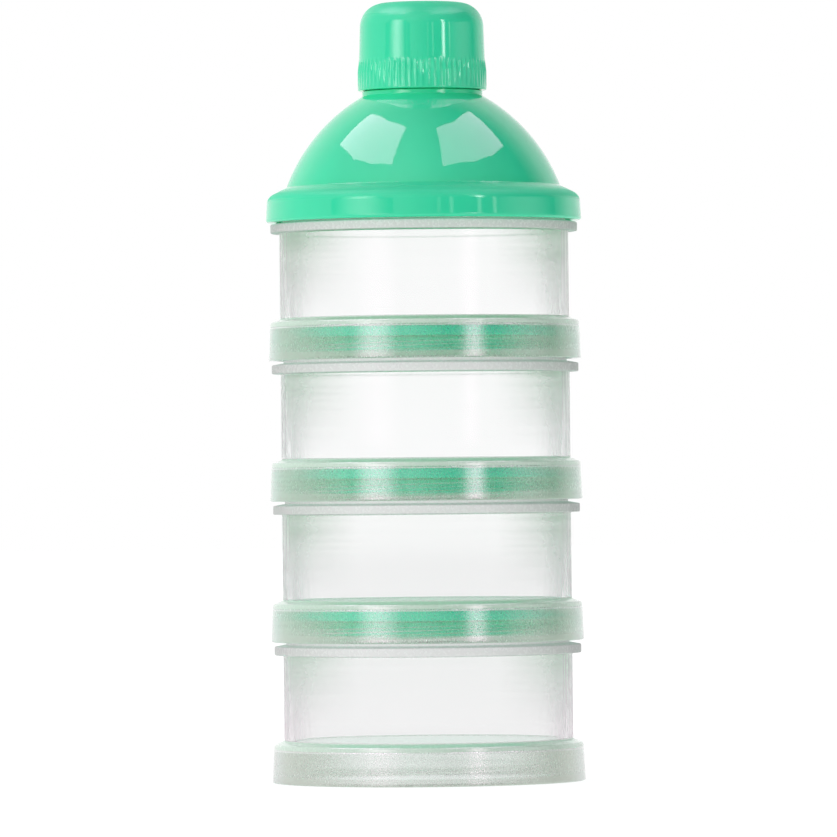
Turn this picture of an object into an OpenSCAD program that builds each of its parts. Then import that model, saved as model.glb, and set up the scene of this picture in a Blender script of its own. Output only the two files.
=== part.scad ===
// Formula dispenser: four clear screw-together pots under a dome lid with a capped pouring spout.
// The pots are identical. Each one screws down over the neck of the pot below it, onto a green
// separator lid. The origin is the centre of the ring that the bottom pot stands on.

/* [Pots] */
// Height that each pot adds to the stack
pot_pitch = 31.6; // [30:0.1:33]
// Outer radius of a pot's body
body_r = 32.5; // [32.3:0.1:32.8]
// Thickness of a pot's wall
pot_wall = 2.2; // [1.8:0.1:2.3]
// Thickness of a pot's floor
floor_t = 1.6; // [1.2:0.1:2]
// Outer radius of the skirt at its open end
skirt_r = 35.2; // [34.8:0.1:35.5]
// Height of the skirt and its sloping shoulder
skirt_h = 9.3; // [9:0.1:10]
// Outer radius of the flange below the neck
flange_r = 34.5; // [33.6:0.1:34.8]
// Thickness of the flange at its edge
flange_t = 1.9; // [1.2:0.05:2.5]
// Gap between a flange and the skirt above it
skirt_gap = 1; // [0.8:0.05:1.5]
// Height of the neck's rim above the lower end of the skirt that covers it
rim_h = 5; // [4.9:0.05:5.1]

/* [Pot thread] */
// Rise of the thread in one turn
tier_lead = 5; // [4.6:0.1:5.4]
// Number of ridges side by side
tier_starts = 2; // [1:1:2]
// Radius of the neck that the outer ridges stand on
neck_r = 31.85; // [31.8:0.05:31.9]
// Radius of the skirt wall that the inner ridges stand on
socket_r = 33.1; // [33.05:0.05:33.2]
// Height of a ridge above its wall
tier_ridge_h = 0.95; // [0.8:0.05:1]
// Width of a ridge at its wall
tier_base_w = 1.1; // [0.9:0.1:1.2]
// Width of a ridge at its crest
tier_crest_w = 0.5; // [0.3:0.1:0.6]

/* [Separator lids] */
// Outer radius of the flange that the rim carries
separator_r = 32.6; // [32.5:0.05:32.8]
// Thickness of the flange
separator_t = 2.1; // [1.8:0.1:2.3]
// Radial gap between the plug and the pot's bore
plug_gap = 0.2; // [0.15:0.05:0.4]
// Wall thickness of the plug and its panel
separator_wall = 1.2; // [0.8:0.1:1.4]
// Clear depth of a compartment below the panel
compartment_depth = 25.4; // [24.5:0.1:25.8]

/* [Dome lid] */
// Outer radius of the brim near its lower edge
brim_r = 35.56; // [35.4:0.02:35.8]
// Outer radius of the brim below its rounded corner
brim_top_r = 35.3; // [35.2:0.05:35.5]
// Distance that the brim reaches below the level of a pot's skirt
brim_drop = 0.55; // [0.3:0.05:0.6]
// Height of the brim
brim_h = 7.9; // [7.8:0.05:8.2]
// Radius of the brim's upper corner
brim_corner = 2.6; // [2:0.1:3]
// Slope of the brim's upper face, in degrees
brim_slope = 27; // [20:1:28]
// Radius of the dome's outer curve
dome_curve = 39.4; // [39.2:0.1:39.6]
// Distance of the curve's centre beyond the axis
dome_offset = 6.05; // [5.9:0.05:6.3]
// Depth of the curve's centre below the top of the brim
dome_sink = 13.8; // [13.5:0.1:14]
// Thickness of the dome
dome_wall = 1.6; // [1.2:0.1:2]
// Height of the dome above the brim
dome_h = 20.45; // [20.2:0.05:20.6]

/* [Spout and cap] */
// Outer radius of the spout below its thread
spout_r = 11.9; // [11.7:0.05:11.95]
// Radius of the spout's bore
spout_bore = 10.4; // [9.5:0.1:10.6]
// Height of the spout above the dome
spout_h = 15.4; // [15.2:0.1:15.6]
// Overall height with the cap screwed down
overall_h = 175.26; // [175:0.01:176]
// Outer radius of the cap at its open end
cap_r = 14.5; // [14.4:0.05:15]
// Outer radius of the cap below its rounded corner
cap_top_r = 13.95; // [13.9:0.05:14.2]
// Radius of the cap's upper corner
cap_corner = 5.5; // [4:0.1:5.6]
// Rise of the cap's top from its rounded corner to its middle
cap_crown = 0.16; // [0.05:0.01:0.3]
// Gap between the dome and the cap
cap_gap = 1.15; // [1:0.05:1.4]
// Number of grip ribs round the cap
cap_ribs = 68; // [40:1:90]

/* [Spout thread] */
// Rise of the thread in one turn
spout_lead = 3; // [2.8:0.1:3.2]
// Turns of ridge on the spout and in the cap
spout_turns = 1.25; // [1:0.05:1.5]
// Radius of the cap's wall that the inner ridge stands on
cap_socket_r = 13; // [12.95:0.05:13.05]
// Height of a ridge above its wall
spout_ridge_h = 0.85; // [0.6:0.05:0.85]
// Width of a ridge at its wall
spout_base_w = 1; // [0.8:0.1:1.1]
// Width of a ridge at its crest
spout_crest_w = 0.45; // [0.3:0.05:0.5]

/* [Quality] */
// Flat facets in one turn of a thread ridge
facets_per_turn = 48; // [36:4:60]

/* [Hidden] */
$fn = 96;
TINY = 0.01;
fit_gap = 0.1;         // between faces that touch on the real object
bevel = 0.4;           // small edges that are not drawn as arcs

// Levels of a pot, from the lower end of its own skirt
bore_r = body_r - pot_wall;
flange_top = pot_pitch - skirt_gap;
neck_base = flange_top + 0.4;
rim_z = pot_pitch + rim_h;
socket_top = rim_h + separator_t + 2 * fit_gap;
recess_r = 29;
recess_z = socket_top + 0.4;
floor_z = recess_z + floor_t;
shoulder_r = skirt_r - 0.4;

// Thread ridges, as the height of their centre line
male_z = 0.45;
rim_margin = 0.2;      // plain wall between the last ridge and the rim
male_rise = rim_h - rim_margin - tier_base_w / 2 - male_z;
female_z = 0.75;
female_rise = 3.5;
flank_gap = 0.1;
tier_offset = (tier_base_w + tier_crest_w) / 2 + flank_gap;
female_phase = 360 * (female_z - male_z + tier_offset) / tier_lead;

// The separator's levels, from the lower end of the skirt above it
separator_z = rim_h + fit_gap;
panel_z = floor_z + compartment_depth - pot_pitch;
plug_r = bore_r - plug_gap;
plug_bottom = 1.3;

// The dome lid's levels
lid_z = 4 * pot_pitch;
brim_z = lid_z - brim_drop;
brim_top = brim_z + brim_h;
seal_t = 0.6;
seal_r = 31.8;
lid_ceiling = lid_z + rim_h + seal_t + 2 * fit_gap;
taper_z = lid_z + rim_h - 0.25;
corner_r = brim_top_r - brim_corner;
slope_r = corner_r + brim_corner * sin(brim_slope);
foot_r = sqrt(pow(dome_curve, 2) - pow(dome_sink, 2)) - dome_offset;
slope_z = brim_top - (slope_r - foot_r) * tan(brim_slope);
corner_z = slope_z - brim_corner * cos(brim_slope);
opening_r = bore_r - 0.9;
dome_centre_z = brim_top - dome_sink;
dome_top = brim_top + dome_h;
collar_r = spout_r + 1.65;
collar_top = dome_top + cap_gap - fit_gap;
spout_top = dome_top + spout_h;

// The cap's levels
cap_z = dome_top + cap_gap;
liner_t = 1;
liner_z = spout_top + fit_gap;
liner_r = 12.4;
pocket_r = liner_r + 0.15;
pocket_top = liner_z + liner_t + fit_gap;
spout_thread_z = dome_top + 9.8;
spout_offset = (spout_base_w + spout_crest_w) / 2 + flank_gap;
cap_thread_z = spout_thread_z - 1.5;
cap_phase = 360 * (cap_thread_z - spout_thread_z + spout_offset) / spout_lead;
cap_corner_z = overall_h - cap_crown - cap_corner;
rib_z = cap_z + 2.3;
rib_h = 4.9;
rib_depth = 0.25;

green = [0.29, 0.83, 0.65];
clear = [0.93, 0.95, 0.94, 0.45];
silicone = [0.95, 0.95, 0.93];

// A rectangle between two radii and two heights, to be turned into a ring
module band(r_in, r_out, z_low, z_high) {
    translate([r_in, z_low]) square([r_out - r_in, z_high - z_low]);
}

// One thread ridge: a trapezoid swept up a right-hand helix on a wall of radius wall_r.
// It stands outwards for a positive height and inwards for a negative one. Its base is sunk
// into the wall, and its crest comes up over the first and last few facets.
module ridge(wall_r, height, base_w, crest_w, lead, rise, z, phase) {
    sink = 0.3;
    lead_in = 4;
    steps = ceil(facets_per_turn * rise / lead);
    outward = height > 0;
    base_r = wall_r - sign(height) * sink;
    function crest_r(i) = wall_r + height * min(1, (1 + min(i, steps - i)) / (lead_in + 1));
    function inner_r(i) = outward ? base_r : crest_r(i);
    function outer_r(i) = outward ? crest_r(i) : base_r;
    inner_w = outward ? base_w : crest_w;
    outer_w = outward ? crest_w : base_w;
    function at(i, r, dz) = let (a = phase + 360 * rise / lead * i / steps)
        [r * cos(a), r * sin(a), z + rise * i / steps + dz];
    points = [for (i = [0:steps]) each [
        at(i, inner_r(i), -inner_w / 2),
        at(i, outer_r(i), -outer_w / 2),
        at(i, outer_r(i), outer_w / 2),
        at(i, inner_r(i), inner_w / 2)
    ]];
    sides = [for (i = [0:steps - 1], j = [0:3]) let (
        a = 4 * i + j,
        b = 4 * i + (j + 1) % 4
    ) each [[a, b, b + 4], [a, b + 4, a + 4]]];
    start_cap = [[3, 2, 1], [3, 1, 0]];
    end_cap = [for (f = [[0, 1, 2], [0, 2, 3]]) [for (v = f) 4 * steps + v]];
    polyhedron(points, concat(sides, start_cap, end_cap), convexity = 6);
}

// All the ridges of a pot-sized thread, evenly spaced round the axis
module tier_thread(wall_r, height, z, rise, phase) {
    for (k = [0:tier_starts - 1])
        ridge(wall_r, height, tier_base_w, tier_crest_w, tier_lead, rise, z,
            phase + 360 * k / tier_starts);
}

// The inner ridges of a skirt whose lower end is at height z
module skirt_thread(z) {
    tier_thread(socket_r, -tier_ridge_h, z + female_z, female_rise, female_phase);
}

// Section of a pot: skirt, body, flange, neck, bore and floor, anticlockwise from the skirt's end
module pot_section() {
    polygon([
        [socket_r + bevel, 0],
        [skirt_r - bevel, 0],
        [skirt_r, bevel],
        [shoulder_r, skirt_h - 1],
        [shoulder_r - bevel, skirt_h - 0.6],
        [body_r, skirt_h],
        [body_r, flange_top - flange_t],
        [flange_r, flange_top - flange_t],
        [flange_r, flange_top],
        [body_r - 0.1, neck_base],
        [neck_r, neck_base],
        [neck_r, rim_z - bevel],
        [neck_r - bevel, rim_z],
        [bore_r + bevel / 2, rim_z],
        [bore_r, rim_z - bevel / 2],
        [bore_r, floor_z + 2 * bevel],
        [bore_r - 2 * bevel, floor_z],
        [0, floor_z],
        [0, recess_z],
        [recess_r, recess_z],
        [recess_r, socket_top],
        [socket_r, socket_top],
        [socket_r, bevel]
    ]);
}

// One pot, with the lower end of its skirt at height z
module pot(z) {
    color(clear) translate([0, 0, z]) {
        union() {
            rotate_extrude() pot_section();
            tier_thread(neck_r, tier_ridge_h, pot_pitch + male_z, male_rise, 0);
            skirt_thread(0);
        }
    }
}

module container_top() {
    pot(3 * pot_pitch);
}

module container_upper() {
    pot(2 * pot_pitch);
}

module container_lower() {
    pot(pot_pitch);
}

module container_bottom() {
    pot(0);
}

// Section of a separator lid: the flange on the rim, the plug in the bore and its panel
module separator_section() {
    inner_r = plug_r - separator_wall;
    polygon([
        [0, panel_z],
        [inner_r, panel_z],
        [inner_r, plug_bottom],
        [plug_r - bevel, plug_bottom],
        [plug_r, plug_bottom + bevel],
        [plug_r, separator_z],
        [separator_r, separator_z],
        [separator_r, separator_z + separator_t],
        [inner_r, separator_z + separator_t],
        [inner_r, panel_z + separator_wall],
        [0, panel_z + separator_wall]
    ]);
}

// One separator lid under the pot whose skirt ends at height z, with a bar across it to pull it by
module separator(z) {
    bar = [26, 3, separator_z + separator_t - panel_z - separator_wall];
    color(green) translate([0, 0, z]) {
        union() {
            rotate_extrude() separator_section();
            translate([-bar.x / 2, -bar.y / 2, panel_z + separator_wall - TINY]) cube(bar);
        }
    }
}

module separator_upper() {
    separator(3 * pot_pitch);
}

module separator_middle() {
    separator(2 * pot_pitch);
}

module separator_lower() {
    separator(pot_pitch);
}

// Sealing ring that the dome lid presses on the top rim
module lid_seal() {
    color(silicone) rotate_extrude()
        band(bore_r + 0.3, seal_r, lid_z + rim_h + fit_gap, lid_z + rim_h + fit_gap + seal_t);
}

// The part of the plane on the axis side of a radius and between two heights
module slice(r, z_low, z_high) {
    band(0, r, z_low, z_high);
}

// The part of the dome's curve, at a given radius, between two heights
module dome_outline(curve, z_low, z_high) {
    intersection() {
        translate([-dome_offset, dome_centre_z]) circle(curve, $fn = 180);
        slice(brim_r, z_low, z_high);
    }
}

// Outline of the brim: a side that leans in a little, a rounded corner and a sloping upper face
module brim_outline() {
    polygon([
        [0, brim_z],
        [brim_r - bevel, brim_z],
        [brim_r, brim_z + bevel],
        [brim_top_r, corner_z],
        [slope_r, slope_z],
        [foot_r, brim_top],
        [0, brim_top]
    ]);
    translate([corner_r, corner_z]) circle(brim_corner);
}

// Section of the dome lid: brim, dome and spout, less the hollow
module dome_lid_section() {
    difference() {
        union() {
            brim_outline();
            dome_outline(dome_curve, brim_top - TINY, dome_top);
            slice(collar_r, dome_top - 1, collar_top);
            slice(spout_r, dome_top - 1, spout_top);
        }
        polygon([
            [0, brim_z - 1],
            [socket_r, brim_z - 1],
            [socket_r, taper_z],
            [seal_r + 0.2, lid_ceiling],
            [0, lid_ceiling]
        ]);
        slice(opening_r, lid_ceiling - 1, brim_top);
        dome_outline(dome_curve - dome_wall, brim_top - 1, dome_top - dome_wall);
        slice(spout_bore, dome_top - 3, spout_top + 1);
    }
}

module dome_lid() {
    color(green) union() {
        rotate_extrude() dome_lid_section();
        skirt_thread(lid_z);
        ridge(spout_r, spout_ridge_h, spout_base_w, spout_crest_w, spout_lead,
            spout_lead * spout_turns, spout_thread_z, 0);
    }
}

// Sealing disc that lies loose in the cap's pocket, held up by the cap's thread ridge
module cap_liner() {
    color(silicone) translate([0, 0, liner_z]) cylinder(h = liner_t, r = liner_r);
}

// Section of the cap: a plain lower ring, a belt for the ribs, a tapered side, a rounded upper
// corner and a faint crown, less the socket and pocket
module cap_section() {
    difference() {
        union() {
            polygon([
                [0, cap_z],
                [cap_r - bevel, cap_z],
                [cap_r, cap_z + bevel],
                [cap_r, rib_z],
                [cap_r - rib_depth, rib_z + 0.1],
                [cap_top_r + 0.2, rib_z + rib_h],
                [cap_top_r, cap_corner_z],
                [cap_top_r - cap_corner, overall_h - cap_crown],
                [0, overall_h]
            ]);
            translate([cap_top_r - cap_corner, cap_corner_z]) circle(cap_corner);
        }
        polygon([
            [0, cap_z - 1],
            [cap_socket_r, cap_z - 1],
            [cap_socket_r, liner_z - 1.4],
            [pocket_r, liner_z - 0.8],
            [pocket_r, pocket_top],
            [9, pocket_top],
            [9, overall_h - 1.4],
            [0, overall_h - 1.4]
        ]);
    }
}

// The grip ribs: slim upright prisms that lean in, so that their upper ends fade into the side
module grip_ribs() {
    width = 0.8;
    lean = 2.6;
    for (i = [0:cap_ribs - 1])
        rotate([0, 0, 360 * i / cap_ribs])
            translate([cap_r - 0.42, 0, rib_z])
                rotate([0, -lean, 0])
                    cylinder(h = rib_h, r = width / 2, $fn = 4);
}

module spout_cap() {
    color(green) union() {
        rotate_extrude() cap_section();
        grip_ribs();
        ridge(cap_socket_r, -spout_ridge_h, spout_base_w, spout_crest_w, spout_lead,
            spout_lead * spout_turns, cap_thread_z, cap_phase);
    }
}

spout_cap();
cap_liner();
dome_lid();
lid_seal();
container_top();
separator_upper();
container_upper();
separator_middle();
container_lower();
separator_lower();
container_bottom();
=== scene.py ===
"""Looks of the formula dispenser: a fine mesh and a plastic for each piece, and a plain studio.

Outlines are in millimetres, as radius and height. Every mesh is made in metres, in the CAD model's frame.
"""

import math

import bmesh
import bpy
import numpy as np
from mathutils import Matrix, Vector


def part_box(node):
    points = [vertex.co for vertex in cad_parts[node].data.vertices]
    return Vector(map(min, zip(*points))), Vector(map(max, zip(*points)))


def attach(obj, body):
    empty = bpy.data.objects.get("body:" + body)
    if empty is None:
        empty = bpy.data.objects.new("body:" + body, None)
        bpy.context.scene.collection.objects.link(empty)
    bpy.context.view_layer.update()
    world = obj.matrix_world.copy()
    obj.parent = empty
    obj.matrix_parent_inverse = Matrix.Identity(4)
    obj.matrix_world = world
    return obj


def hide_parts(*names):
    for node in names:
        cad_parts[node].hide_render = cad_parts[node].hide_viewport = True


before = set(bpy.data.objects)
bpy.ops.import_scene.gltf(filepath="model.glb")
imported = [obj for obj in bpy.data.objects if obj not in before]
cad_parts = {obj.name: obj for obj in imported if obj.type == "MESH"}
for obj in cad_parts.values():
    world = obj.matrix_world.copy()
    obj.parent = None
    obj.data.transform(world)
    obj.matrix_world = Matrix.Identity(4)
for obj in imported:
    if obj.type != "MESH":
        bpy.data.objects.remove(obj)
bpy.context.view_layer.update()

MM = 0.001
TAU = math.tau


def level(node, end=0):
    """Height in mm of a CAD node's lowest point, or of its highest for end=1."""
    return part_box(node)[end].z / MM


def reach(node):
    """Greatest radius in mm of a CAD node."""
    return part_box(node)[1].x / MM


# --- Sizes in mm, where the CAD boxes don't give them ---------------------------------------------

POT_PITCH = level("container_lower") - level("container_bottom")
SKIRT_R = reach("container_bottom")
SKIRT_H = 9.3
SOCKET_R = 33.1
BODY_R = 32.5
BORE_R = 30.3
NECK_R = 31.85
FLANGE_R = 34.5
FLANGE_TOP = POT_PITCH - 1.0
FLANGE_T = 1.9
NECK_BASE = FLANGE_TOP + 0.4
RIM_Z = level("container_bottom", 1) - level("container_bottom")
FLOOR_Z = SKIRT_H
FLOOR_T = 1.6
RECESS_R = 29.0
SOCKET_TOP = 7.3
PARTING_LINES = [math.radians(-58), math.radians(122)]
PARTING_H = 0.06
GATE_MARK = (1.9, 2.1, 4.2, 4.5)  # radii of the ring groove under the floor
GROOVE_DEPTH = 0.25
COMPARTMENT = 25.4  # from a pot's floor up to the panel of the separator over it

# A ridge is as wide as base at the wall and as crest at its top.
TIER_THREAD = dict(lead=5.0, starts=2, base=1.1, crest=0.5)
SPOUT_THREAD = dict(lead=3.0, starts=1, base=1.0, crest=0.45)
TIER_RIDGE_H = 0.95
SPOUT_RIDGE_H = 0.85
FLANK_GAP = 0.1  # between the flanks of an inner and an outer ridge

BRIM_R = reach("dome_lid")
BRIM_Z = level("dome_lid")
BRIM_TOP = BRIM_Z + 7.9
BRIM_TOP_R = 35.3
BRIM_CORNER = 2.6
BRIM_SLOPE = math.radians(27)
DOME_CURVE = 39.4
DOME_OFFSET = 6.05  # from the curve's centre to the axis, and down to the centre from the brim's top
DOME_SINK = 13.8
DOME_CENTRE_Z = BRIM_TOP - DOME_SINK
DOME_WALL = 1.6
DOME_TOP = BRIM_TOP + 20.45
COLLAR_TOP = level("spout_cap") - 0.1
SPOUT_R = 11.9
SPOUT_BORE = 10.4
COLLAR_R = SPOUT_R + 1.65
SPOUT_THREAD_Z = DOME_TOP + 9.8
SPOUT_TOP = level("dome_lid", 1)

CAP_Z = level("spout_cap")
CAP_TOP = level("spout_cap", 1)
CAP_R = 14.5
CAP_TOP_R = 13.95
CAP_CORNER = 5.5
CAP_CROWN = 0.16  # how much the middle of the cap's top stands above its edge
CAP_SOCKET_R = 13.0
CAP_STRAIGHT = CAP_Z + 4.2  # above it the side tapers
CAP_RIBS = 68
RIB_H = 0.22
BELT_LOW, BELT_HIGH = CAP_Z + 2.3, CAP_Z + 7.2  # the belt of ribs
LINER_GROOVE = (9.2, 9.5, 10.0, 10.3)


# --- Outlines and relief --------------------------------------------------------------------------

HOLD = 0.12  # from a rounded corner to the row that keeps its shading off the flat beside it
ARC_STEP = math.radians(11)
ROOM_SHARE = 0.49  # how much of the way to the next corner a rounded corner may take
WALL_MATCH = 0.02  # how near a point is to a wall's radius to count as on it
MARGIN = 0.3  # how far a point lies from a wall's radius when it can't be on that wall
THREADED_STEPS = 400  # points round a threaded piece
PLAIN_STEPS = 256
LINER_STEPS = 192
RIB_STEPS = 12  # points round the cap for each rib


def corner(r, z, bend=0.0, step=0.0):
    """One corner of an outline, with its rounding radius and the spacing of rows on the way to it."""
    return (r, z, bend, step)


def rounded(corners, closed):
    """The points of an outline: an arc at each corner that has a bend, with a holding row on each side."""
    count = len(corners)
    points = []
    for i, (r, z, bend, step) in enumerate(corners):
        here = np.array([r, z])
        if step and points:
            start = points[-1]
            rows = max(2, math.ceil(np.linalg.norm(here - start) / step))
            points += [start + (here - start) * k / rows for k in range(1, rows)]
        inner = closed or 0 < i < count - 1
        if not (bend and inner):
            points.append(here)
            continue
        before = np.array(corners[i - 1][:2]) - here
        after = np.array(corners[(i + 1) % count][:2]) - here
        room = min(np.linalg.norm(before), np.linalg.norm(after))
        before /= np.linalg.norm(before)
        after /= np.linalg.norm(after)
        half = math.acos(np.clip(before @ after, -1, 1)) / 2
        cut = min(bend / math.tan(half), ROOM_SHARE * room)
        radius = cut * math.tan(half)
        middle = (before + after) / np.linalg.norm(before + after)
        centre = here + middle * radius / math.sin(half)
        first, last = here + before * cut, here + after * cut
        steps = max(3, math.ceil((math.pi - 2 * half) / ARC_STEP))
        held = room * ROOM_SHARE > cut + HOLD
        if held:
            points.append(first + before * HOLD)
        a, b = first - centre, last - centre
        turn = math.atan2(a[0] * b[1] - a[1] * b[0], a @ b)
        for k in range(steps + 1):
            t = turn * k / steps
            c, s = math.cos(t), math.sin(t)
            points.append(centre + np.array([a[0] * c - a[1] * s, a[0] * s + a[1] * c]))
        if held:
            points.append(last + after * HOLD)
    return np.array(points)


def arc_corners(centre, radius, start, end, spacing=0.35):
    """Corners along an arc about a centre, between two angles in radians."""
    steps = max(2, math.ceil(abs(end - start) * radius / spacing))
    angles = np.linspace(start, end, steps + 1)
    return [corner(centre[0] + radius * math.cos(a), centre[1] + radius * math.sin(a)) for a in angles]


def groove(radii, z, bend):
    """The four corners of a shallow ring groove in a face that looks down from height z."""
    return [corner(r, z + rise, bend) for r, rise in zip(radii, (0, GROOVE_DEPTH, GROOVE_DEPTH, 0))]


def add(name, data):
    """A new object of the scene, with a mesh or a camera."""
    made = bpy.data.objects.new(name, data)
    bpy.context.scene.collection.objects.link(made)
    return made


def flat(name, corners):
    """One flat face with the given corners, in metres."""
    mesh = bpy.data.meshes.new(name)
    mesh.from_pydata(corners, [], [tuple(range(len(corners)))])
    return add(name, mesh)


def revolve(name, outline, segments, relief=None):
    """A closed mesh: the outline turned about Z. An outline that starts and ends on the axis gets a pole
    at each end, and any other is a closed loop. relief(r, z, angle) gives how far each point stands out."""
    poles = outline[0][0] < 1e-6 and outline[-1][0] < 1e-6
    body = outline[1:-1] if poles else outline
    angle = np.arange(segments) * TAU / segments
    r = np.repeat(body[:, 0][:, None], segments, axis=1)
    z = np.repeat(body[:, 1][:, None], segments, axis=1)
    a = np.repeat(angle[None, :], len(body), axis=0)
    if relief is not None:
        r = r + relief(r, z, a)
    verts = np.stack([r * np.cos(a), r * np.sin(a), z], axis=-1).reshape(-1, 3)
    rows = len(body)
    i = np.arange(rows - 1 if poles else rows)[:, None]
    j = np.arange(segments)[None, :]
    below, above = i * segments, (i + 1) % rows * segments
    right = (j + 1) % segments
    quads = np.stack(np.broadcast_arrays(below + j, below + right, above + right, above + j), axis=-1)
    faces = quads.reshape(-1, 4).tolist()
    if poles:
        verts = np.vstack([verts, [0, 0, outline[0][1]], [0, 0, outline[-1][1]]])
        first, last = len(verts) - 2, len(verts) - 1
        top = (rows - 1) * segments
        for k in range(segments):
            nxt = (k + 1) % segments
            faces.append((first, nxt, k))
            faces.append((last, top + k, top + nxt))
    mesh = bpy.data.meshes.new(name)
    mesh.from_pydata((verts * MM).tolist(), [], faces)
    mesh.polygons.foreach_set("use_smooth", [True] * len(mesh.polygons))
    mesh.update()
    return add(name, mesh)


def places(piece):
    """Radius and height in mm of each point of a piece."""
    points = np.empty(len(piece.data.vertices) * 3)
    piece.data.vertices.foreach_get("co", points)
    x, y, z = points.reshape(-1, 3).T / MM
    return np.hypot(x, y), z


def paint(piece, key, values):
    """Stores one number for each point of a piece, for its material to read."""
    attribute = piece.data.attributes.new(key, "FLOAT", "POINT")
    attribute.data.foreach_set("value", values.astype(np.float32))


def smooth_step(x):
    """x kept between 0 and 1, with a soft start and end."""
    x = np.clip(x, 0, 1)
    return x * x * (3 - 2 * x)


def thread_relief(wall_r, height, z, rise, phase, lead, starts, base, crest):
    """Relief of a right-hand screw thread on the wall at wall_r. Its ridges' centre lines start at height
    z and angle phase (radians), climb by rise, and fade in and out at their ends."""
    fade = 1.6

    def relief(r, zz, a):
        out = np.zeros_like(r)
        wall = np.abs(r - wall_r) < WALL_MATCH
        for k in range(starts):
            along = (a - phase - TAU * k / starts) % TAU
            for turn in range(math.ceil(rise / lead) + 1):
                climb = (along / TAU + turn) * lead
                flank = (base / 2 - np.abs(zz - z - climb)) / ((base - crest) / 2)
                ends = smooth_step(climb / fade) * smooth_step((rise - climb) / fade)
                out = np.maximum(out, smooth_step(flank) * ends)
        return np.where(wall, out * height, 0)

    return relief


def helix_phase(z, mate_z, thread):
    """Angle at which an inner thread starts, so that its ridges lie just under the outer thread's."""
    offset = (thread["base"] + thread["crest"]) / 2 + FLANK_GAP
    return TAU * (z - mate_z + offset) / thread["lead"]


def parting_relief(wall_r, angles, height):
    """Relief of the fine upright lines that the two halves of the mould leave on the wall at wall_r."""
    width = math.radians(0.5)

    def relief(r, z, a):
        out = np.zeros_like(r)
        for line in angles:
            away = np.abs((a - line + math.pi) % TAU - math.pi)
            out = np.maximum(out, np.clip(1 - away / width, 0, 1))
        return np.where(np.abs(r - wall_r) < WALL_MATCH, out * height, 0)

    return relief


def all_reliefs(*reliefs):
    """Several reliefs as one."""
    return lambda r, z, a: sum(relief(r, z, a) for relief in reliefs)


# --- Materials ------------------------------------------------------------------------------------

WHITE = (1.0, 1.0, 1.0)

# Zones that make_pot paints on a pot: its skirt, the ring where the skirt meets the body, a painted highlight
# line at the top of the socket and along the neck's rim, the skirt's foot, the flange, the neck, the top of
# the floor, and the thread ridges.
POT_ZONES = ("skirt", "shoulder", "highlight_line", "lip", "flange", "neck", "floor", "ridge")


def srgb(red, green, blue):
    """A screen colour, 0 to 255, as the linear colour that shaders take."""
    parts = (c / 255 for c in (red, green, blue))
    return tuple(((c + 0.055) / 1.055) ** 2.4 if c > 0.04 else c / 12.92 for c in parts)


class Shader:
    """A material's node tree, with short calls for the nodes used here."""

    def __init__(self, owner, output="OutputMaterial"):
        """owner is the name of a new material, or the world."""
        self.material = bpy.data.materials.new(owner) if isinstance(owner, str) else owner
        self.material.use_nodes = True
        self.tree = self.material.node_tree
        self.tree.nodes.clear()
        self.output = self.node(output)

    def node(self, kind, inputs=None, **settings):
        made = self.tree.nodes.new("ShaderNode" + kind)
        for key, value in settings.items():
            setattr(made, key, value)
        for key, value in (inputs or {}).items():
            self.join(value, made.inputs[key])
        return made

    def join(self, value, socket):
        if isinstance(value, bpy.types.NodeSocket):
            self.tree.links.new(value, socket)
        elif isinstance(value, tuple) and len(value) == 3 and socket.type == "RGBA":
            socket.default_value = (*value, 1.0)
        else:
            socket.default_value = value

    def place(self, scale):
        """The point on the piece, in metres, stretched by scale in X, Y and Z."""
        where = self.node("TexCoord").outputs["Object"]
        return self.node("Mapping", {"Vector": where, "Scale": scale}).outputs["Vector"]

    def noise(self, scale, stretch=(1, 1, 1), detail=3.0):
        made = self.node("TexNoise", {"Vector": self.place(stretch), "Scale": scale, "Detail": detail})
        return made.outputs["Fac"]

    def span(self, value, low, high, start=0.0, end=1.0):
        """value, taken from start..end to low..high and kept inside it."""
        ends = {"From Min": start, "From Max": end, "To Min": low, "To Max": high}
        return self.node("MapRange", {"Value": value, **ends}).outputs["Result"]

    def attribute(self, key):
        """A number stored at each point of the piece. It is 0 on a piece without it."""
        return self.node("Attribute", attribute_name=key).outputs["Fac"]

    def maths(self, operation, a, b=0.0):
        return self.node("Math", {0: a, 1: b}, operation=operation).outputs["Value"]

    def bump(self, height, distance, normal=None):
        inputs = {"Height": height, "Distance": distance, "Strength": 1.0}
        if normal is not None:
            inputs["Normal"] = normal
        return self.node("Bump", inputs).outputs["Normal"]

    def mix(self, factor, a, b):
        """A number between a and b."""
        return self.node("Mix", {0: factor, 2: a, 3: b}).outputs[0]

    def mix_colour(self, factor, a, b):
        """A colour between a and b. The node has its colours at sockets 6 and 7, and their mix at 2."""
        made = self.node("Mix", data_type="RGBA")
        for key, value in ((0, factor), (6, a), (7, b)):
            self.join(value, made.inputs[key])
        return made.outputs[2]

    def mix_shader(self, factor, a, b):
        return self.node("MixShader", {0: factor, 1: a, 2: b}).outputs["Shader"]


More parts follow.
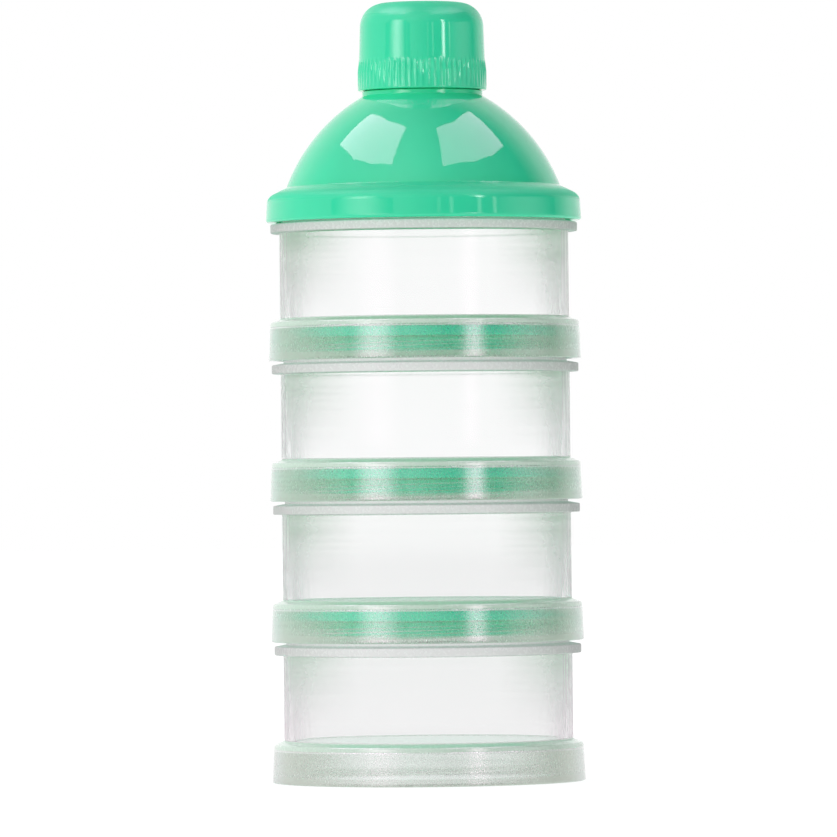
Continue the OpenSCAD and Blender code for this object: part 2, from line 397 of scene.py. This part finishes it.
def green_plastic(name, colour):
    """Glossy moulded polypropylene: faint flow marks, soft depth and a slightly uneven skin."""
    s = Shader(name)
    cloud = s.noise(60, (1, 1, 0.5))
    fine = s.noise(900, detail=2)
    scratch = s.noise(300, (1, 1, 0.06), detail=6)
    shade = tuple(c * 0.93 for c in colour)
    tone = s.mix_colour(s.span(cloud, 0, 1, 0.35, 0.65), shade, colour)
    rough = s.maths("ADD", s.span(cloud, 0.03, 0.06, 0.3, 0.7), s.span(scratch, 0, 0.03, 0.55, 0.75))
    matt = s.attribute("matt")
    rough = s.maths("ADD", rough, s.span(matt, 0, 0.4))
    skin = s.bump(fine, 0.000002, s.bump(cloud, 0.00004))
    plastic = s.node(
        "BsdfPrincipled",
        {
            "Base Color": tone,
            "Roughness": rough,
            "IOR": 1.49,
            "Specular IOR Level": s.span(matt, 0.5, 0.15),
            "Subsurface Weight": 0.12,
            "Subsurface Radius": (0.4, 1.0, 0.7),
            "Subsurface Scale": 0.0015,
            "Normal": skin,
        },
    )
    s.join(plastic.outputs["BSDF"], s.output.inputs["Surface"])
    return s.material


def clear_plastic(name):
    """Clear polypropylene. The body of a pot is glassy, and its skirt, flange and neck are milkier, most of
    all along the thread ridges, where the extra milk is also a painted highlight on them, and where a wall is
    seen edge-on. Light that falls on what is inside passes straight through, and only a look through the
    plastic is bent."""
    s = Shader(name)
    skirt, shoulder, highlight_line, lip, flange, neck, floor, ridge = (s.attribute(key) for key in POT_ZONES)
    inside = s.node("NewGeometry").outputs["Backfacing"]
    rings = s.maths("MAXIMUM", s.maths("MAXIMUM", shoulder, highlight_line), flange)
    solid = s.maths("MULTIPLY", rings, s.span(inside, 1, 0))
    milky = s.maths("MAXIMUM", skirt, s.maths("MAXIMUM", solid, neck))
    cloud = s.noise(45, (1, 1, 0.3))
    flow = s.noise(160, (1, 1, 0.04), detail=4)
    streak = s.noise(25, (0.3, 0.3, 26), detail=3)
    upright = s.noise(700, (1, 1, 0.01), detail=2)
    fine = s.noise(1400, detail=2)
    facing = s.node("LayerWeight", {"Blend": 0.5}).outputs["Facing"]

    tint = s.mix_colour(skirt, (0.982, 0.983, 0.983), (0.95, 0.968, 0.958))
    rough = s.maths("ADD", s.span(milky, 0.03, 0.27), s.span(fine, 0, 0.02, 0.5, 0.8))
    bend = s.span(milky, 1.12, 1.05)
    skin = s.bump(flow, 0.00003, s.bump(cloud, 0.00002))
    through = s.node("BsdfGlass", {"Color": tint, "Roughness": rough, "IOR": bend, "Normal": skin})

    body_milk = s.mix_colour(floor, (1.0, 0.8, 0.91), (1.0, 0.96, 0.98))
    skirt_milk = s.mix_colour(s.span(facing, 0, 1, 0.6, 0.75), (0.73, 0.74, 0.68), (0.8, 0.81, 0.79))
    # Painted shade: the flange's milk colour turns darker where the flange is seen edge-on, at its sides.
    flange_milk_shaded = s.mix_colour(s.span(facing, 0, 1, 0.1, 0.7), (1.0, 0.95, 0.97), (0.72, 0.69, 0.7))
    colour = s.mix_colour(flange, body_milk, flange_milk_shaded)
    colour = s.mix_colour(skirt, colour, skirt_milk)
    # The milk of the shoulder ring and of the neck is real, but their green tint is painted light from the
    # green separators inside.
    colour = s.mix_colour(shoulder, colour, (0.72, 0.88, 0.76))
    colour = s.mix_colour(neck, colour, (0.5, 0.68, 0.5))
    # Painted highlight: a white line at the top of the socket, and a fainter one along the neck's rim.
    colour = s.mix_colour(highlight_line, colour, WHITE)
    milk = s.node("BsdfTranslucent", {"Color": colour}).outputs["BSDF"]
    chalk = s.node("BsdfDiffuse", {"Color": colour}).outputs["BSDF"]
    chalky = s.maths("SUBTRACT", s.span(solid, 0.5, 0.9), s.maths("MULTIPLY", flange, 0.1))
    haze = s.mix_shader(chalky, milk, chalk)

    thin = s.span(cloud, 0.01, 0.02, 0.3, 0.7)
    # Extra milk on the thread ridges, the floor and the skirt's foot. On the ridges it is partly real and
    # partly a painted highlight along them.
    for zone, share in ((ridge, 0.06), (floor, 0.25), (lip, 0.55)):
        thin = s.maths("ADD", thin, s.maths("MULTIPLY", zone, share))
    flow_lines = s.span(upright, 0.7, 1.3, 0.35, 0.65)
    edge_body = s.maths("MULTIPLY", s.span(facing, 0, 0.42, 0.4, 0.9), flow_lines)
    edge_milky = s.span(facing, 0.03, 0.75, 0.12, 0.56)
    edge = s.mix(milky, edge_body, edge_milky)
    lines = s.mix(milky, 1.0, s.span(streak, 0.7, 1.3, 0.35, 0.65))
    amount = s.maths("MULTIPLY", s.maths("ADD", thin, edge), lines)
    amount = s.maths("MAXIMUM", amount, s.maths("MULTIPLY", solid, 0.9))
    body = s.mix_shader(amount, through.outputs["BSDF"], haze)

    smooth = s.span(milky, 0.05, 0.16)
    gloss = s.node("BsdfGlossy", {"Color": WHITE, "Roughness": smooth, "Normal": skin})
    shine = s.maths("ADD", s.maths("MULTIPLY", s.maths("POWER", facing, 5.0), 0.5), 0.04)
    shine = s.maths("MULTIPLY", shine, s.span(skirt, 0.1, 2.0))
    surface = s.mix_shader(shine, body, gloss.outputs["BSDF"])

    clear = s.node("BsdfTransparent", {"Color": (0.975, 0.98, 0.977)}).outputs["BSDF"]
    path = s.node("LightPath")
    lit = s.maths("MAXIMUM", path.outputs["Is Shadow Ray"], path.outputs["Is Diffuse Ray"])
    s.join(s.mix_shader(lit, surface, clear), s.output.inputs["Surface"])
    return s.material


def silicone(name):
    """Soft white silicone: satin, slightly see-through, with a faint grain."""
    s = Shader(name)
    grain = s.noise(2200, detail=2)
    cloud = s.noise(80)
    tone = s.mix_colour(s.span(cloud, 0, 1, 0.35, 0.65), (0.8, 0.82, 0.79), (0.86, 0.87, 0.84))
    plastic = s.node(
        "BsdfPrincipled",
        {
            "Base Color": tone,
            "Roughness": s.span(grain, 0.42, 0.55, 0.3, 0.7),
            "IOR": 1.41,
            "Subsurface Weight": 0.4,
            "Subsurface Radius": (1.0, 1.0, 0.95),
            "Subsurface Scale": 0.002,
            "Normal": s.bump(grain, 0.00001),
        },
    )
    s.join(plastic.outputs["BSDF"], s.output.inputs["Surface"])
    return s.material


GREEN_LID = green_plastic("green_lid", srgb(66, 241, 186))
GREEN_SEPARATOR = green_plastic("green_separator", srgb(60, 236, 188))
CLEAR_POT = clear_plastic("clear_pot")
SILICONE = silicone("silicone")


def dress(piece, material, node):
    """Gives a piece its material and has it stand for a CAD node, on that node's body."""
    piece.data.materials.append(material)
    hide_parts(node)
    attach(piece, node)


# --- The pots -------------------------------------------------------------------------------------

# Where the ridges' centre lines start, over a pot's pitch and over a skirt's foot, and how far they climb.
MALE_Z = 0.45
MALE_RISE = RIM_Z - POT_PITCH - 0.2 - TIER_THREAD["base"] / 2 - MALE_Z
FEMALE_Z = 0.75
FEMALE_RISE = 3.5
FEMALE_PHASE = helix_phase(FEMALE_Z, MALE_Z, TIER_THREAD)
THREAD_STEP = 0.1
FADE = 0.2  # over which one painted zone turns into the next
# Height of the painted highlight line, at the top of the socket.
HIGHLIGHT_LINE_Z = SOCKET_TOP
SOLID_Z = HIGHLIGHT_LINE_Z + 2 * FADE
SOLID_TOP = SKIRT_H + 0.3
LIP_Z = 1.9


def skirt_thread(z):
    """The inner thread of a skirt whose lower end is at height z."""
    start = z + FEMALE_Z
    return thread_relief(SOCKET_R, -TIER_RIDGE_H, start, FEMALE_RISE, FEMALE_PHASE, **TIER_THREAD)


def pot_outline():
    """From the middle of the floor's underside out to the skirt, up the outside and down the bore."""
    underside = FLOOR_Z - FLOOR_T
    shoulder_r = SKIRT_R - 0.4
    shoulder_z = SKIRT_H - 0.7
    lip_marks = [LIP_Z - 5 * FADE, LIP_Z - 2 * FADE, LIP_Z]
    highlight_line_marks = [HIGHLIGHT_LINE_Z - FADE, HIGHLIGHT_LINE_Z, HIGHLIGHT_LINE_Z + FADE, SOLID_Z - FADE, SOLID_Z]
    return [
        corner(0, underside),
        *groove(GATE_MARK, underside, 0.1),
        corner(RECESS_R, underside, 0.5),
        corner(RECESS_R, SOCKET_TOP, 0.3),
        corner(SOCKET_R, SOCKET_TOP, 0.25),
        corner(SOCKET_R, 0, 0.45, THREAD_STEP),
        corner(SKIRT_R, 0, 0.3),
        *[corner(SKIRT_R + (shoulder_r - SKIRT_R) * z / shoulder_z, z) for z in lip_marks + highlight_line_marks],
        corner(shoulder_r, shoulder_z, 0.6),
        corner(BODY_R, SKIRT_H, 0.3),
        corner(BODY_R, SOLID_TOP - FADE),
        corner(BODY_R, SOLID_TOP),
        corner(BODY_R, FLANGE_TOP - FLANGE_T, 0.3),
        corner(FLANGE_R, FLANGE_TOP - FLANGE_T, 0.25),
        corner(FLANGE_R, FLANGE_TOP, 0.3),
        corner(BODY_R - 0.1, NECK_BASE, 0.2),
        corner(NECK_R, NECK_BASE, 0.15),
        corner(NECK_R, RIM_Z, 0.25, THREAD_STEP),
        corner(BORE_R, RIM_Z, 0.3),
        corner(BORE_R, FLOOR_Z, 0.3),
        corner(0, FLOOR_Z),
    ]


def make_pot(node):
    """One pot. The thread lies on the neck and in the skirt, and two parting lines run up the body."""
    base = level(node)
    relief = all_reliefs(
        thread_relief(NECK_R, TIER_RIDGE_H, POT_PITCH + MALE_Z, MALE_RISE, 0, **TIER_THREAD),
        skirt_thread(0),
        parting_relief(BODY_R, PARTING_LINES, PARTING_H),
        parting_relief(FLANGE_R, PARTING_LINES, PARTING_H),
    )
    outline = rounded(pot_outline(), closed=False) + [0, base]
    piece = revolve(node + "_pot", outline, THREADED_STEPS, lambda r, z, a: relief(r, z - base, a))
    r, z = places(piece)
    z -= base
    paint(piece, "skirt", smooth_step((SKIRT_H - z) / FADE + 0.5))
    outer = r > BORE_R + MARGIN
    solid = smooth_step((z - SOLID_Z) / FADE + 1) * smooth_step((SOLID_TOP - z) / FADE)
    paint(piece, "shoulder", outer * solid)
    # Painted highlight lines: full white at the top of the socket, half as strong along the neck's rim.
    rim_highlight = 0.5 * smooth_step(1.5 - abs(z - RIM_Z) / FADE)
    paint(piece, "highlight_line", outer * smooth_step(1 - abs(z - HIGHLIGHT_LINE_Z) / FADE) + rim_highlight)
    paint(piece, "lip", (r > SOCKET_R + MARGIN) * smooth_step((LIP_Z - z) / (2 * FADE)))
    neck = smooth_step((z - NECK_BASE - 0.6) / FADE)
    paint(piece, "neck", neck)
    paint(piece, "flange", outer * (1 - neck) * smooth_step((z - FLANGE_TOP + FLANGE_T) / FADE + 1))
    paint(piece, "floor", (r < BORE_R - MARGIN) & (abs(z - FLOOR_Z) < 0.5))
    out_of_wall = np.where(z > NECK_BASE, r - NECK_R, SOCKET_R - r) / TIER_RIDGE_H
    threaded = (z > NECK_BASE) | (z < SOCKET_TOP)
    paint(piece, "ridge", np.where(threaded & (out_of_wall < 1.01), np.clip(out_of_wall, 0, 1), 0))
    dress(piece, CLEAR_POT, node)


for pot in ("container_bottom", "container_lower", "container_upper", "container_top"):
    make_pot(pot)


# --- The separator lids ---------------------------------------------------------------------------

SEPARATOR_R = reach("separator_lower")
PLUG_R = BORE_R - 0.2
SEPARATOR_WALL = 1.2
SEPARATOR_T = 2.1
PANEL_Z = FLOOR_Z + COMPARTMENT - POT_PITCH
PLUG_Z = 1.3
GRIP_LENGTH, GRIP_WIDTH, GRIP_BEND = 26, 3, 0.5


def separator_outline(bottom, top):
    """From the middle of the panel's underside, down in the plug, up its outside and over the flange."""
    inner_r = PLUG_R - SEPARATOR_WALL
    panel = bottom - PLUG_Z + PANEL_Z
    flange = top - SEPARATOR_T
    return [
        corner(0, panel),
        corner(inner_r, panel, 0.6),
        corner(inner_r, bottom, 0.3),
        corner(PLUG_R - 0.35, bottom, 0.3),
        corner(PLUG_R, bottom + 0.9, 0.5),
        corner(PLUG_R, flange, 0.2),
        corner(SEPARATOR_R, flange, 0.3),
        corner(SEPARATOR_R, top, 0.45),
        corner(inner_r, top, 0.35),
        corner(inner_r, panel + SEPARATOR_WALL, 0.6),
        corner(0, panel + SEPARATOR_WALL),
    ]


def grip_bar(low, high):
    """The bar across a separator lid that it is pulled by, with rounded edges."""
    bar = bmesh.new()
    size = Matrix.Diagonal((GRIP_LENGTH * MM, GRIP_WIDTH * MM, (high - low) * MM, 1))
    place = Matrix.Translation((0, 0, (low + high) / 2 * MM))
    bmesh.ops.create_cube(bar, size=1.0, matrix=place @ size)
    bmesh.ops.bevel(bar, geom=bar.edges[:], offset=GRIP_BEND * MM, segments=4, affect="EDGES")
    mesh = bpy.data.meshes.new("grip_bar")
    bar.to_mesh(mesh)
    bar.free()
    return add("grip_bar", mesh)


def unite(piece, extra):
    """Joins a second solid to a piece and removes it as an object of its own."""
    union = piece.modifiers.new("union", "BOOLEAN")
    union.operation, union.solver, union.object = "UNION", "EXACT", extra
    seen = piece.evaluated_get(bpy.context.evaluated_depsgraph_get())
    piece.data = bpy.data.meshes.new_from_object(seen)
    piece.modifiers.clear()
    bpy.data.objects.remove(extra)
    piece.data.shade_smooth()
    piece.data.set_sharp_from_angle(angle=math.radians(40))


def make_separator(node):
    """One separator lid, with its grip bar standing on the panel."""
    bottom, top = level(node), level(node, 1)
    piece = revolve(node + "_lid", rounded(separator_outline(bottom, top), closed=False), PLAIN_STEPS)
    panel_top = bottom - PLUG_Z + PANEL_Z + SEPARATOR_WALL
    unite(piece, grip_bar(panel_top - SEPARATOR_WALL / 2, top))
    dress(piece, GREEN_SEPARATOR, node)


for lid in ("separator_lower", "separator_middle", "separator_upper"):
    make_separator(lid)


# --- The dome lid, its seal, and the spout cap ----------------------------------------------------

LID_SEAL_R = reach("lid_seal")
SPOUT_RISE = 1.25 * SPOUT_THREAD["lead"]


def brim_corners():
    """The brim's outside: from its lower edge up the side, round the corner and up the sloping top."""
    foot_r = math.sqrt(DOME_CURVE**2 - DOME_SINK**2) - DOME_OFFSET
    slope_r = BRIM_TOP_R - BRIM_CORNER * (1 - math.sin(BRIM_SLOPE))
    slope_z = BRIM_TOP - (slope_r - foot_r) * math.tan(BRIM_SLOPE)
    centre = (BRIM_TOP_R - BRIM_CORNER, slope_z - BRIM_CORNER * math.cos(BRIM_SLOPE))
    arc = arc_corners(centre, BRIM_CORNER, 0, math.pi / 2 - BRIM_SLOPE)
    return [corner(BRIM_R, BRIM_Z, 0.7), *arc, corner(foot_r, BRIM_TOP, 0.3)]


def make_dome_lid():
    """Brim with a screw thread inside, dome, and spout with a screw thread outside."""
    lid_base = 4 * POT_PITCH
    rim = lid_base + RIM_Z - POT_PITCH
    ceiling = rim + 0.8
    opening_r = BORE_R - 0.9
    inside = DOME_CURVE - DOME_WALL
    centre = (-DOME_OFFSET, DOME_CENTRE_Z)
    inner_mouth = math.acos((SPOUT_BORE + DOME_OFFSET) / inside)
    inner_foot = math.acos((opening_r + DOME_OFFSET) / inside)
    outer_foot = math.asin(DOME_SINK / DOME_CURVE)
    outer_top = math.acos((COLLAR_R + DOME_OFFSET) / DOME_CURVE)
    corners = [
        *brim_corners(),
        *arc_corners(centre, DOME_CURVE, outer_foot + 0.01, outer_top - 0.005),
        corner(COLLAR_R, DOME_TOP + 0.1, 0.12),
        corner(COLLAR_R, COLLAR_TOP, 0.25),
        corner(SPOUT_R, COLLAR_TOP, 0.2),
        corner(SPOUT_R, SPOUT_TOP, 0.5, THREAD_STEP),
        corner(SPOUT_BORE, SPOUT_TOP, 0.5),
        corner(SPOUT_BORE, DOME_CENTRE_Z + inside * math.sin(inner_mouth), 0.6),
        *arc_corners(centre, inside, inner_mouth - 0.03, inner_foot, 0.8),
        corner(opening_r, ceiling, 0.3),
        corner(LID_SEAL_R + 0.2, ceiling, 0.3),
        corner(SOCKET_R, rim - 0.25, 0.4),
        corner(SOCKET_R, BRIM_Z, 0.4, THREAD_STEP),
    ]
    relief = all_reliefs(
        skirt_thread(lid_base),
        thread_relief(SPOUT_R, SPOUT_RIDGE_H, SPOUT_THREAD_Z, SPOUT_RISE, 0, **SPOUT_THREAD),
    )
    piece = revolve("dome_lid_shell", rounded(corners, closed=True), THREADED_STEPS, relief)
    r, z = places(piece)
    sloping_top = smooth_step((r - 30.9) / 0.4) * smooth_step((z - BRIM_TOP + 3.7) / 1.2)
    paint(piece, "matt", sloping_top)
    dress(piece, GREEN_LID, "dome_lid")


def make_lid_seal():
    """A flat ring with two soft lips on its lower face."""
    low, high = level("lid_seal"), level("lid_seal", 1)
    inner, outer = BORE_R + 0.3, LID_SEAL_R
    mid = (inner + outer) / 2
    corners = [
        corner(inner, low, 0.25),
        corner(mid - 0.35, low, 0.2),
        corner(mid, low + 0.3, 0.2),
        corner(mid + 0.35, low, 0.2),
        corner(outer, low, 0.25),
        corner(outer, high, 0.25),
        corner(inner, high, 0.25),
    ]
    piece = revolve("lid_seal_ring", rounded(corners, closed=True), PLAIN_STEPS)
    dress(piece, SILICONE, "lid_seal")


def make_cap_liner():
    """A disc with a shallow groove inside the line where the spout's rim meets it."""
    low, high = level("cap_liner"), level("cap_liner", 1)
    outer = reach("cap_liner")
    corners = [
        corner(0, low),
        *groove(LINER_GROOVE, low, 0.2),
        corner(outer, low, 0.25),
        corner(outer, high, 0.25),
        corner(0, high),
    ]
    piece = revolve("cap_liner_disc", rounded(corners, closed=False), LINER_STEPS)
    dress(piece, SILICONE, "cap_liner")


def rib_relief(r, z, a):
    """Shallow grip ribs round the cap, in a belt above its plain lower ring. Their upper ends fade out."""
    fade_low, fade_high, sharpness = 0.3, 1.8, 1.5
    wave = 0.5 + 0.5 * np.cos(a * CAP_RIBS)
    belt = smooth_step((z - BELT_LOW) / fade_low) * smooth_step((BELT_HIGH - z) / fade_high)
    valley = (wave**sharpness - 1) * RIB_H * belt
    return np.where(r > CAP_TOP_R - MARGIN, valley, 0)


def make_spout_cap():
    """The cap: a pocket for its liner, a screw thread inside, ribs and a rounded top outside."""
    ceiling, ceiling_r = CAP_TOP - 1.4, 9
    pocket_low = level("cap_liner") - 0.8
    pocket_high = level("cap_liner", 1) + 0.1
    pocket_r = reach("cap_liner") + 0.15
    bend = (CAP_TOP_R - CAP_CORNER, CAP_TOP - CAP_CROWN - CAP_CORNER)
    corners = [
        corner(0, ceiling),
        corner(ceiling_r, ceiling, 1.0),
        corner(ceiling_r, pocket_high, 0.2),
        corner(pocket_r, pocket_high, 0.3),
        corner(pocket_r, pocket_low, 0.3),
        corner(CAP_SOCKET_R, pocket_low - 0.6, 0.3),
        corner(CAP_SOCKET_R, CAP_Z, 0.3, THREAD_STEP),
        corner(CAP_R, CAP_Z, 0.35),
        corner(CAP_R, CAP_STRAIGHT),
        corner(CAP_TOP_R + 0.22, BELT_HIGH, 0, 0.25),
        *arc_corners(bend, CAP_CORNER, 0, math.pi / 2 - 0.02),
        corner(CAP_TOP_R / 3, CAP_TOP - CAP_CROWN / 6),
        corner(0, CAP_TOP),
    ]
    z = SPOUT_THREAD_Z - 1.5
    phase = helix_phase(z, SPOUT_THREAD_Z, SPOUT_THREAD)
    relief = all_reliefs(
        thread_relief(CAP_SOCKET_R, -SPOUT_RIDGE_H, z, SPOUT_RISE, phase, **SPOUT_THREAD),
        rib_relief,
    )
    piece = revolve("spout_cap_shell", rounded(corners, closed=False), CAP_RIBS * RIB_STEPS, relief)
    r, z = places(piece)
    paint(piece, "matt", smooth_step((z - CAP_TOP + CAP_CORNER) / 5))
    dress(piece, GREEN_LID, "spout_cap")


make_dome_lid()
make_lid_seal()
make_cap_liner()
make_spout_cap()


# --- Studio, in metres ----------------------------------------------------------------------------

SKIRT_LIGHT = (1.0, 0.7, 0.88)
PLAIN_LIGHT = (1.0, 0.9, 0.98)
BOX_LIGHT = (1.0, 0.68, 0.95)
BOX_Z = 0.9
FLOOR_RADIUS = 6.0
CAMERA_PLACE = Vector((0, -1.75, 0.0678))
CAMERA_AIM = Vector((-0.0016, 0, 0.0816))
CAMERA_LEAN = math.radians(0.59)
CAMERA_LENS = 334.5


def softbox(name, corners, strength, colour, middle=None):
    """A flat softbox with the given corners. It shows in gloss and leaves matt shading to the world. middle
    is a point on the upright line that its light fades away from, and None is an even light."""
    panel = flat(name, corners)
    s = Shader(name)
    if middle is not None:
        place = s.node("TexCoord").outputs["Object"]
        level_place = s.node("VectorMath", {0: place, 1: (1.0, 1.0, 0.0)}, operation="MULTIPLY")
        away = s.node("VectorMath", {0: level_place.outputs["Vector"], 1: middle}, operation="DISTANCE")
        half = (Vector(corners[1]) - Vector(corners[0])).length / 2
        ends = {"From Max": half, "To Min": strength, "To Max": 0.0}
        fade = s.node("MapRange", {"Value": away.outputs["Value"], **ends}, interpolation_type="SMOOTHSTEP")
        strength = fade.outputs["Result"]
    glow = s.node("Emission", {"Color": colour, "Strength": strength}).outputs["Emission"]
    s.join(glow, s.output.inputs["Surface"])
    panel.data.materials.append(s.material)
    panel.visible_camera = False
    panel.visible_diffuse = False
    panel.visible_transmission = False


def strip(name, azimuth, width, heights, strength, colour, distance=1.0):
    """An upright softbox at an azimuth in degrees from the camera's side, turned to face the object. Its
    light is strongest along its middle."""
    a = math.radians(azimuth)
    middle = Vector((math.sin(a), -math.cos(a), 0)) * distance
    side = Vector((math.cos(a), math.sin(a), 0)) * width / 2
    bottom, top = (Vector((0, 0, z)) for z in heights)
    corners = [middle - side + bottom, middle + side + bottom, middle + side + top, middle - side + top]
    softbox(name, corners, strength, colour, middle)


def overhead(name, corners, strength):
    """A softbox level with the floor, above the object, with the given corners in X and Y."""
    softbox(name, [(x, y, BOX_Z) for x, y in corners], strength, BOX_LIGHT)


# The overhead boxes' edges towards the stack, and the edges away from it.
LEFT_INNER = [(-0.37, 0.4), (-0.26, 0.1), (-0.13, -0.06), (-0.35, -0.48)]
LEFT_OUTER = [(-0.57, -0.33), (-0.72, -0.07), (-0.74, 0.39)]
RIGHT_INNER = [(0.34, 0.38), (0.24, 0.06), (0.11, -0.08), (0.23, -0.56)]
RIGHT_OUTER = [(0.57, -0.31), (0.71, -0.03), (0.74, 0.28)]
overhead("box_left", LEFT_INNER + LEFT_OUTER, 6.3)
overhead("box_right", RIGHT_INNER + RIGHT_OUTER, 4.6)

# The sides of the pieces lean back a little. So the skirts show the lower strips and the brim the upper
# ones, and the cap shows the two that stand close by. A dim broad one greys the right side.
SKIRT_HEIGHTS = (0.08, 0.25)
BRIM_HEIGHTS = (0.25, 0.4)
CAP_HEIGHTS = (0.187, 0.3)
CAP_DISTANCE = 0.3
BRIM_GLINTS = ((11, 1.0), (20, 1.8), (41, 2.2), (53, 2.6))  # azimuth and strength
strip("skirt_left", -37, 0.8, SKIRT_HEIGHTS, 5.5, SKIRT_LIGHT)
strip("skirt_right", 36, 0.42, SKIRT_HEIGHTS, 7.0, SKIRT_LIGHT)
strip("brim_left", -46, 0.9, BRIM_HEIGHTS, 2.6, PLAIN_LIGHT)
for count, (azimuth, strength) in enumerate(BRIM_GLINTS):
    strip(f"brim_right_{count}", azimuth, 0.09, BRIM_HEIGHTS, strength, PLAIN_LIGHT)
strip("veil_right", 78, 1.3, (0.05, 0.4), 1.1, PLAIN_LIGHT)
strip("cap_left", -46, 0.19, CAP_HEIGHTS, 6.0, PLAIN_LIGHT, CAP_DISTANCE)
strip("cap_right", 40, 0.052, CAP_HEIGHTS, 13.0, PLAIN_LIGHT, CAP_DISTANCE)


def make_floor():
    """A round pale floor that turns to plain white away from the object."""
    count = 96
    angles = [TAU * k / count for k in range(count)]
    floor = flat("floor", [(FLOOR_RADIUS * math.cos(a), FLOOR_RADIUS * math.sin(a), 0) for a in angles])
    s = Shader("pale_floor")
    place = s.node("TexCoord").outputs["Object"]
    distance = s.node("VectorMath", {0: place}, operation="LENGTH").outputs["Value"]
    paper = s.node("BsdfDiffuse", {"Color": (0.8, 0.8, 0.8)}).outputs["BSDF"]
    seen = s.node("LightPath").outputs["Is Camera Ray"]
    glow = s.span(seen, 0.97, 1.1)
    white = s.node("Emission", {"Color": WHITE, "Strength": glow}).outputs["Emission"]
    far = s.span(distance, 0.86, 1, 0.08, 0.4)
    s.join(s.mix_shader(far, paper, white), s.output.inputs["Surface"])
    floor.data.materials.append(s.material)


def make_world():
    """White behind, lit from the left and dim on the right in front, and plain white to the camera."""
    world = bpy.data.worlds.new("studio")
    bpy.context.scene.world = world
    s = Shader(world, "OutputWorld")
    direction = s.node("TexCoord").outputs["Generated"]
    parts = s.node("SeparateXYZ", {0: direction})
    x, y, z = (parts.outputs[k] for k in range(3))
    level_light = s.span(x, 0.8, 0, -0.3, 0.3)
    above = s.maths("MULTIPLY", s.span(z, 0, 0.65, 0.2, 0.7), s.span(y, 1, 0, -0.7, 0.3))
    front = s.maths("ADD", level_light, above)
    behind = s.span(y, 0, 1, 0.3, 0.65)
    strength = s.mix(behind, front, 1.08)
    seen = s.node("LightPath").outputs["Is Camera Ray"]
    studio = s.node("Background", {"Color": WHITE, "Strength": strength}).outputs["Background"]
    plain = s.node("Background", {"Color": WHITE, "Strength": 1.0}).outputs["Background"]
    s.join(s.mix_shader(seen, studio, plain), s.output.inputs["Surface"])


def make_camera():
    """Far off, with a long lens, and turned a hair so that the stack leans as it does in the picture."""
    data = bpy.data.cameras.new("camera")
    camera = add("camera", data)
    data.sensor_width = 36.0
    data.lens = CAMERA_LENS
    data.clip_start, data.clip_end = 0.05, 20.0
    aimed = (CAMERA_AIM - CAMERA_PLACE).to_track_quat("-Z", "Y").to_matrix()
    turned = aimed @ Matrix.Rotation(-CAMERA_LEAN, 3, "Z")
    camera.matrix_world = Matrix.Translation(CAMERA_PLACE) @ turned.to_4x4()
    bpy.context.scene.camera = camera


make_floor()
make_world()
make_camera()

scene = bpy.context.scene
scene.view_settings.view_transform = "Standard"
scene.view_settings.look = "None"
scene.cycles.max_bounces = 32
scene.cycles.transmission_bounces = 28
scene.cycles.transparent_max_bounces = 32
scene.cycles.diffuse_bounces = 4
scene.cycles.glossy_bounces = 8
scene.cycles.caustics_reflective = False
scene.cycles.caustics_refractive = False
scene.cycles.use_denoising = True
